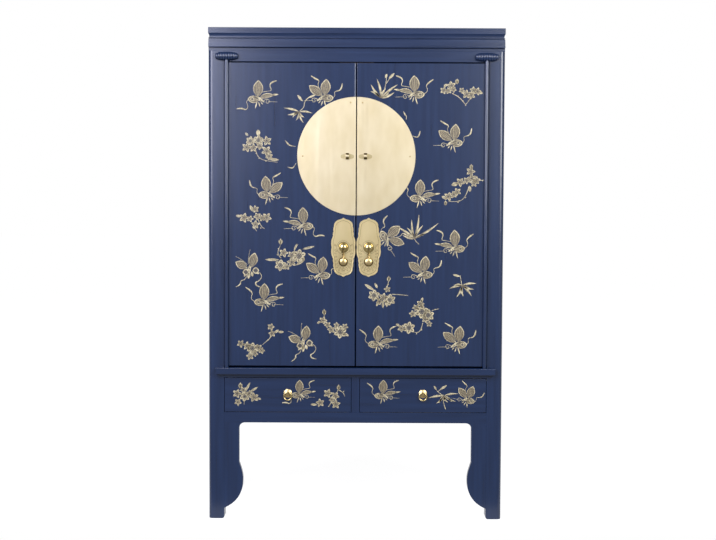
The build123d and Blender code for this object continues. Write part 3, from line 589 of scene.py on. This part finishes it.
spray("painted_orchid_1", L, -235, 940,
      [(-22, 15, 15), (7, -18, 16), (6, 8, 13), (-10, -34, 11)],
      stems=[[(15, 20), (20, 34), (29, 45)], [(-30, -4), (-44, 8), (-40, 30), (-33, 42)]],
      leaves=[(-37, -10, -88, -9, 9), (44, 28, 88, 39, 8), (22, -29, 54, -8, 9),
              (15, 24, 26, 48, 7)],
      rosettes=[(-33, -29, 17), (33, 4, 20)], buds=[(-33, 54, 10)])
spray("painted_orchid_2", R, 97, 804,
      [(0, -6, 15), (15, 23, 11), (-12, -20, 12)],
      stems=[[(12, 26), (18, 40), (20, 58)], [(33, 5), (60, 4), (89, 1)]],
      leaves=[(-32, 19, -66, 41, 11), (-14, -18, -24, -38, 9), (0, -18, 0, -44, 9),
              (10, -18, 14, -40, 9), (-20, 26, -30, 46, 8)],
      rosettes=[(-32, 1, 17), (24, -14, 17)], buds=[(20, 60, 9)])
tuft("painted_tuft_1", L, -201, 1453, (-2, 1),
     [(-56, 14), (-43, -10), (-25, -19), (-13, -30), (16, -19), (45, -4), (13, -38)], 9,
     stems=[[(0, 4, 2), (16, 14, 2), (16, 36, 2), (34, 54, 4), (52, 60, 1.6)]],
     leaves=[(10, 38, -8, 60, 9), (30, 50, 58, 62, 7)])
tuft("painted_tuft_2", R, 214, 1040, (-6, -33),
     [(-70, 10), (-49, -20), (-34, 7), (-17, 36), (9, 54), (24, 16), (80, 24), (33, -15)], 10,
     stems=[[(-6, -33, 3), (-2, -44, 2.4), (10, -52, 1.6)]])
tuft("painted_tuft_3", R, 383, 836, (-5, 6),
     [(-50, -6), (-25, -37), (-1, -33), (29, -32), (38, -8), (46, 13), (-34, 6)], 10,
     stems=[[(-5, 4, 2.6), (-9, 23, 2.2), (-12, 42, 1.8)]], leaves=[(-12, 38, -38, 44, 8)])
tuft("painted_lotus", R, 93, 1534, (-6, -31),
     [(-22, 38), (-43, 17), (-44, -7), (52, 17), (40, -11), (10, 4), (24, -4)], 11,
     stems=[[(-6, -28, 2.6), (6, 0, 2.2), (12, 30, 2), (12, 47, 2)],
            [(12, 20, 2), (20, 36, 2), (38, 55, 1.6)]],
     leaves=[(20, 36, 40, 57, 9), (8, 40, 14, 54, 9)])
for k, (node, right, up, points) in enumerate([
        (L, -229, 1339, [(14, -7), (-4, -6), (-14, 2), (-23, 14)]),
        (L, -225, 1264, [(12, 10), (4, -5), (-4, -10), (-18, -5)]),
        (R, 172, 1442, [(3, -14), (6, -4), (-1, 3), (-6, 15)]),
        (R, 218, 1374, [(-20, -3), (-8, -9), (4, -5), (7, 14)])]):
    ribbon = Motif(f"painted_ribbon_{k + 1}", node, right, up)
    ribbon.stroke(*[(x, z, width) for (x, z), width in zip(points, (1.8, 2.4, 7, 2))])
    ribbon.finish()

D, E = "left_drawer_front", "right_drawer_front"
spray("painted_drawer_spray", D, -393, 446,
      [(-30, 5, 15), (30, -8, 16), (-27, -26, 12), (14, 6, 10), (-8, 18, 11)],
      stems=[[(-2, -8), (-4, -22), (-5, -34)]],
      leaves=[(-2, 10, 17, 46, 8), (14, 10, 45, 29, 8), (40, -10, 56, -16, 7)],
      rosettes=[(-3, -5, 15)], buds=[(-18, 33, 10)])
butterfly("painted_butterfly_17", D, -205, 449, size=0.82, folded=True)
spray("painted_drawer_twig", D, -98, 438,
      [(0, 15, 15), (-28, -19, 14), (26, 6, 14), (28, -24, 15), (14, -8, 10)],
      stems=[[(2, -34), (14, -14), (26, 8), (38, 30)], [(38, 26), (56, 22), (60, 4)]],
      leaves=[(-38, -26, -62, -25, 8)], buds=[(38, 36, 9)])
butterfly("painted_butterfly_18", E, 94, 448, size=0.86, folded=True, raised=True)
tuft("painted_tuft_4", E, 309, 446, (8, 0),
     [(-48, -8), (-20, -28), (-8, -26), (6, -22), (22, -24), (36, -22), (50, -20), (58, 8)], 9,
     stems=[[(8, 0, 2.4), (-14, 10, 2.2), (-22, 26, 2)], [(-16, 14, 2), (0, 28, 2), (16, 36, 1.6)],
            [(4, -6, 1.6), (6, -28, 2), (14, -48, 4)]],
     leaves=[(-6, 22, 18, 38, 8), (-20, 22, -28, 36, 7)])
butterfly("painted_butterfly_19", E, 404, 433, turn=15, flip=True, size=0.8)

# ---- Chasing on the plates and painted staple shadows ----
# The lower half of each pull plate is chased by hand with leaves round the drop and a blossom
# under it; the cuts hold dark tarnish. Round each staple the disc carries its painted shadow, a
# duller, darker oval.


def chased_leaf(motif, x0, z0, x1, z1, width):
    """A leaf cut in three lines: two curved sides and a vein."""
    across = Vector((z0 - z1, x1 - x0)).normalized() * width / 2
    x, z = (x0 + x1) / 2, (z0 + z1) / 2
    for side, depth in ((-1, 0.9), (0, 0.6), (1, 0.9)):
        motif.stroke((x0, z0, 0.6), (x + 2 * side * across.x, z + 2 * side * across.y, depth),
                     (x1, z1, 0.6), colour=TARNISH)


for side in ("left", "right"):
    low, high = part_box(f"{side}_pull_plate")
    chasing = Motif(f"{side}_plate_chasing", f"{side}_pull_plate", (low[0] + high[0]) / 2 / mm,
                    (low[2] + high[2]) / 2 / mm)
    for out in (-1, 1):
        for up in (-1, 1):
            chasing.stroke(*[(out * x, up * z, 1.0) for x, z in (
                (0, 96), (9, 93), (21, 87), (26, 80), (28, 68), (29, 55), (30, 42), (35, 26),
                (36, 12), (36, 0))], colour=TARNISH)
        for x0, z0, x1, z1, width in (
                (22, -16, 31, -8, 5), (24, -24, 33, -20, 5), (22, -33, 32, -34, 6),
                (21, -43, 29, -50, 6), (20, -55, 27, -63, 6), (16, -64, 24, -74, 6),
                (10, -70, 16, -84, 6), (25, 4, 33, 12, 5)):
            chased_leaf(chasing, out * x0, z0, out * x1, z1, width)
    for petal in range(5):
        a = radians(90 + 72 * petal)
        chased_leaf(chasing, 2 * cos(a), -79 + 2 * sin(a), 8 * cos(a), -79 + 8 * sin(a), 5)
    chasing.stroke(*[(24 * cos(a), 24 * sin(a), 1.0) for a in (tau * k / 24 for k in range(25))],
                   colour=TARNISH)
    chasing.finish()
    low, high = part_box(f"{side}_lock_staple")
    shadow_oval = Motif(f"{side}_painted_staple_shadow", f"{side}_disc_half", (low[0] + high[0]) / 2 / mm,
                  (low[2] + high[2]) / 2 / mm)
    # a blunt oval of painted shadow that hardly stands over the sheet
    shadow_oval.leaf(-24, -1, 24, -1, 18, STAPLE_SHADOW, rise=0.05, point=0.25)
    shadow_oval.finish()

# ---- Studio ----
# A back-lit white acrylic floor that runs out of sight, and a white room that lights the piece
# less from behind. Two large soft boxes stand high in front, the left one stronger and higher.

floor_half = 30  # metres
floor_front = 0.42  # its edge, just in front of the feet
floor_mesh = bpy.data.meshes.new("studio_floor")
bm = bmesh.new()
bmesh.ops.create_grid(bm, x_segments=1, y_segments=1, size=floor_half)
bmesh.ops.translate(bm, vec=(0, floor_half - floor_front, 0), verts=bm.verts)
bm.to_mesh(floor_mesh)
bm.free()
floor = bpy.data.objects.new("studio_floor", floor_mesh)
bpy.context.collection.objects.link(floor)
acrylic, tree, shader = new_material("backlit_white_acrylic")
cloud = stretched_noise(tree, "x", across_mm=400, along_mm=900)
tone = add_node(tree, "MapRange", {"Value": cloud, "To Min": 0.13, "To Max": 0.16})
tone = tone.outputs["Result"]
shade = add_node(tree, "CombineColor", {"Red": tone, "Green": tone, "Blue": tone})
tree.links.new(shade.outputs["Color"], shader.inputs["Base Color"])
shader.inputs["Roughness"].default_value = 0.9
shader.inputs["Emission Color"].default_value = (1, 1, 1, 1)
shader.inputs["Emission Strength"].default_value = 0.92
floor_mesh.materials.append(acrylic)

room = bpy.data.worlds.new("studio_room")
room.use_nodes = True
seen = add_node(room.node_tree, "LightPath").outputs["Is Camera Ray"]
toward = add_node(room.node_tree, "TexCoord").outputs["Generated"]
depth = add_node(room.node_tree, "SeparateXYZ", {"Vector": toward}).outputs["Y"]
front_light, back_light = 0.5, 0.26
fade = add_node(room.node_tree, "MapRange", {"Value": depth, "From Min": -0.3, "From Max": 0.6,
                                             "To Min": front_light, "To Max": back_light})
level = add_node(room.node_tree, "MapRange", {"Value": seen, "To Min": fade.outputs["Result"],
                                              "To Max": 1.0})
walls = room.node_tree.nodes["Background"]
walls.inputs["Color"].default_value = (1, 1, 1, 1)
room.node_tree.links.new(level.outputs["Result"], walls.inputs["Strength"])
bpy.context.scene.world = room
bpy.context.scene.view_settings.view_transform = "Standard"


def soft_light(name, place, target, width, height, watts, colour):
    """A large soft box that looks at a point."""
    data = bpy.data.lights.new(name, "AREA")
    data.shape = "RECTANGLE"
    data.size, data.size_y = width, height
    data.energy = watts
    data.color = colour
    light = bpy.data.objects.new(name, data)
    light.location = place
    light.rotation_euler = (Vector(target) - Vector(place)).to_track_quat("-Z", "Y").to_euler()
    bpy.context.collection.objects.link(light)


doors_middle = (0, -0.28, 1.2)
soft_light("soft_box_left", (-2.0, -2.8, 2.5), doors_middle, width=2.7, height=2.7, watts=255,
           colour=(0.86, 0.86, 1.0))
soft_light("soft_box_right", (2.05, -2.7, 2.2), doors_middle, width=2.1, height=2.0, watts=160,
           colour=(1.0, 1.0, 1.0))

# ---- Camera ----
# A long lens on a stand four metres in front of the doors, a little above their middle. It is
# tipped slightly down, with a trace of roll.

camera_data = bpy.data.cameras.new("camera")
camera_data.sensor_width = 36
camera_data.lens = 56.6
camera = bpy.data.objects.new("camera", camera_data)
camera.location = (0.0075, -4.25, 1.075)
tip = radians(2.575)
roll = radians(0.25)
camera.rotation_euler = (Matrix.Rotation(radians(90) - tip, 4, "X")
                         @ Matrix.Rotation(roll, 4, "Z")).to_euler()
bpy.context.collection.objects.link(camera)
bpy.context.scene.camera = camera

bpy.context.view_layer.update()
